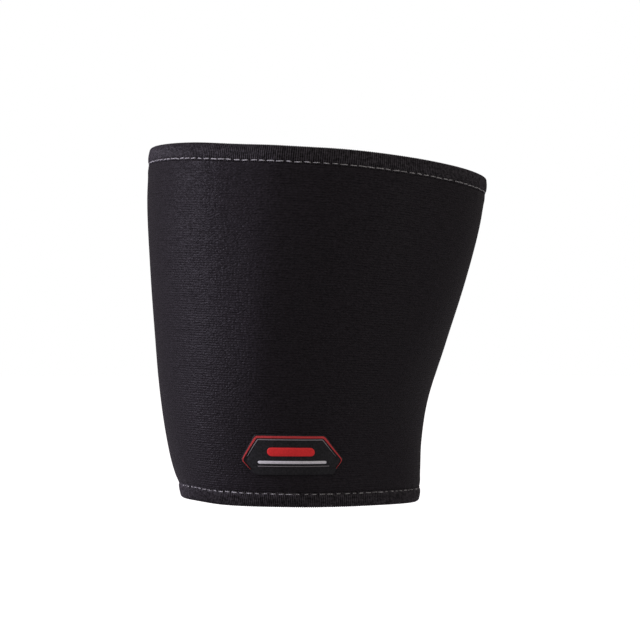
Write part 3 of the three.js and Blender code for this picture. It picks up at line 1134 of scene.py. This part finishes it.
inner_hexagon = drawn_in(PANEL_MARGIN)
bottom_corner, tip = inner_hexagon[:2]
share = (tip[1] - PANEL_BOTTOM) / (tip[1] - bottom_corner[1])
low_left = tip + (bottom_corner - tip) * share
panel_outline = [low_left, *inner_hexagon[1:5], (-low_left[0], PANEL_BOTTOM)]
badge_piece(
    "badge_panel", black_rubber, panel_outline, PLATE_FACE - ROOT, PANEL_FACE, 0.4, 0.18
)
rule_outline = box_outline(x=0.45, y=-3.4, width=40.2, height=0.4)
badge_piece(
    "grey_rule", grey_rubber, rule_outline, PLATE_FACE - ROOT, 1.3, corner=0.2, rim=0.15
)
bar_outline = box_outline(x=0, y=4.8, width=26, height=4.8)
red_bar = badge_piece(
    "red_bar", red_rubber, bar_outline, PANEL_FACE - ROOT, 1.75, corner=2.35, rim=0.3
)
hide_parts("badge_red_bar")
pale_outline = box_outline(x=0, y=-1.1, width=38, height=1.6)
pale_rule = badge_piece(
    "pale_rule", pale_rubber, pale_outline, PANEL_FACE - ROOT, 1.65, corner=0.75, rim=0.2
)
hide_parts("badge_pale_rule")

# %% [markdown]
# ## The camera
# The camera stands where the photograph was taken: straight in front, a little over a metre away, just
# below the middle of the sleeve and looking up by half a degree. A long lens keeps the hems' curves low.

# %% Camera
CAMERA_DISTANCE = 1.08
CAMERA_TILT = math.radians(0.5)
CAMERA_AIM = (11.64 * MM, 0, 6.12 * MM)
SENSOR_WIDTH = 36
FOCAL_LENGTH = 101.25
lens = bpy.data.cameras.new("camera")
lens.sensor_width = SENSOR_WIDTH
lens.lens = FOCAL_LENGTH
camera = bpy.data.objects.new("camera", lens)
camera.rotation_euler = (math.pi / 2 + CAMERA_TILT, 0, 0)
camera.location = (
    CAMERA_AIM[0],
    CAMERA_AIM[1] - CAMERA_DISTANCE * math.cos(CAMERA_TILT),
    CAMERA_AIM[2] - CAMERA_DISTANCE * math.sin(CAMERA_TILT),
)
scene.collection.objects.link(camera)
scene.camera = camera
print("camera at", [round(part, 4) for part in camera.location])

# %% [markdown]
# ## The stage
# A pale floor lies well below, because the sleeve is held up in its worn form. Black cloth next to a
# white floor would be lit from below, so the floor and the backdrop each have two sides: near white for
# the camera, and dimmer for the light that they give.

# %% Floor
FLOOR_HEIGHT = -0.3
FLOOR_RADIUS = 12
FLOOR_EDGES = 96
FLOOR_GLOW = 0.85
FLOOR_SHADE, FLOOR_TINT = (0.76, 0.76, 0.76), (0.8, 0.8, 0.8)
FLOOR_DIM = (0.42, 0.42, 0.42, 1)


def shown_to_camera(tree, seen, unseen):
    """Mixes two shaders: one for what the camera sees, the other for the light that they give."""
    path = place(tree, "ShaderNodeLightPath").outputs["Is Camera Ray"]
    return place(tree, "ShaderNodeMixShader", {0: path, 1: unseen, 2: seen}).outputs[0]


def floor_finish():
    """Near white to the camera, and dim to the sleeve."""
    finish = bpy.data.materials.new("pale_floor")
    finish.use_nodes = True
    tree = finish.node_tree
    tree.nodes.clear()
    spot = place(tree, "ShaderNodeTexCoord").outputs["Object"]
    pale = blend(tree, noise(tree, spot, scale=3, detail=3), FLOOR_SHADE, FLOOR_TINT)
    matt = place(tree, "ShaderNodeBsdfDiffuse", {"Color": pale}).outputs[0]
    glow = place(tree, "ShaderNodeEmission", {"Strength": FLOOR_GLOW}).outputs[0]
    seen = place(tree, "ShaderNodeAddShader", {0: matt, 1: glow}).outputs[0]
    dim = place(tree, "ShaderNodeBsdfDiffuse", {"Color": FLOOR_DIM}).outputs[0]
    place(tree, "ShaderNodeOutputMaterial", {"Surface": shown_to_camera(tree, seen, dim)})
    return finish


disc = bmesh.new()
level = Matrix.Translation((0, 0, FLOOR_HEIGHT))
bmesh.ops.create_circle(disc, cap_ends=True, segments=FLOOR_EDGES, radius=FLOOR_RADIUS, matrix=level)
floor_mesh = bpy.data.meshes.new("floor")
disc.to_mesh(floor_mesh)
disc.free()
floor_mesh.materials.append(floor_finish())
floor = bpy.data.objects.new("floor", floor_mesh)
scene.collection.objects.link(floor)
print(f"floor at {FLOOR_HEIGHT} m")

# %% Backdrop and fill
BACKDROP_WHITE = 1.0
FILL = 0.605
FILL_LEVEL = 0.6
FILL_LEAN = 0.4
FILL_TINT = (1, 0.92, 0.92, 1)
WHITE = (1, 1, 1, 1)
world = bpy.data.worlds.new("studio")
scene.world = world
world.use_nodes = True
sky = world.node_tree
sky.nodes.clear()
direction = place(sky, "ShaderNodeTexCoord").outputs["Generated"]
depth = place(sky, "ShaderNodeSeparateXYZ", {0: direction}).outputs["Y"]
from_front = reckon(sky, "MULTIPLY_ADD", depth, -FILL_LEAN * FILL, FILL_LEVEL * FILL)
fill = place(sky, "ShaderNodeBackground", {"Color": FILL_TINT, "Strength": from_front}).outputs[0]
white = place(sky, "ShaderNodeBackground", {"Color": WHITE, "Strength": BACKDROP_WHITE}).outputs[0]
place(sky, "ShaderNodeOutputWorld", {"Surface": shown_to_camera(sky, white, fill)})
scene.view_settings.view_transform = "Standard"
front, behind = FILL * (FILL_LEVEL + FILL_LEAN), FILL * (FILL_LEVEL - FILL_LEAN)
print(f"fill {front:.2f} in front and {behind:.2f} behind")

# %% [markdown]
# ## The light
# The light is that of a small studio. One soft lamp at the left, a little above the sleeve, rakes across
# the cloth and shows its knit, and leaves the front dark. A broad weak lamp in front at the right lifts
# that side a little. A ring of lamps would be more even, but it would hide the texture.

# %% Lamps
def soft_lamp(name, azimuth, elevation, distance, size, power, tint):
    """A square lamp that looks at the sleeve. Azimuth 0 is the front, and it grows to the right."""
    light = bpy.data.lights.new(name, "AREA")
    light.size = size
    light.energy = power
    light.color = tint
    lamp = bpy.data.objects.new(name, light)
    turn = Matrix.Rotation(math.radians(azimuth), 4, "Z")
    lift = Matrix.Rotation(math.radians(90 - elevation), 4, "X")
    lamp.matrix_world = turn @ lift @ Matrix.Translation((0, 0, distance))
    scene.collection.objects.link(lamp)
    return lamp


key = soft_lamp(
    "key_lamp", azimuth=-86, elevation=16, distance=2.5, size=0.4, power=66, tint=(0.86, 0.81, 1)
)
broad = soft_lamp(
    "broad_lamp", azimuth=62, elevation=8, distance=2.2, size=1.5, power=9.5, tint=(1, 0.98, 0.98)
)
print("lamps:", key.name, broad.name)
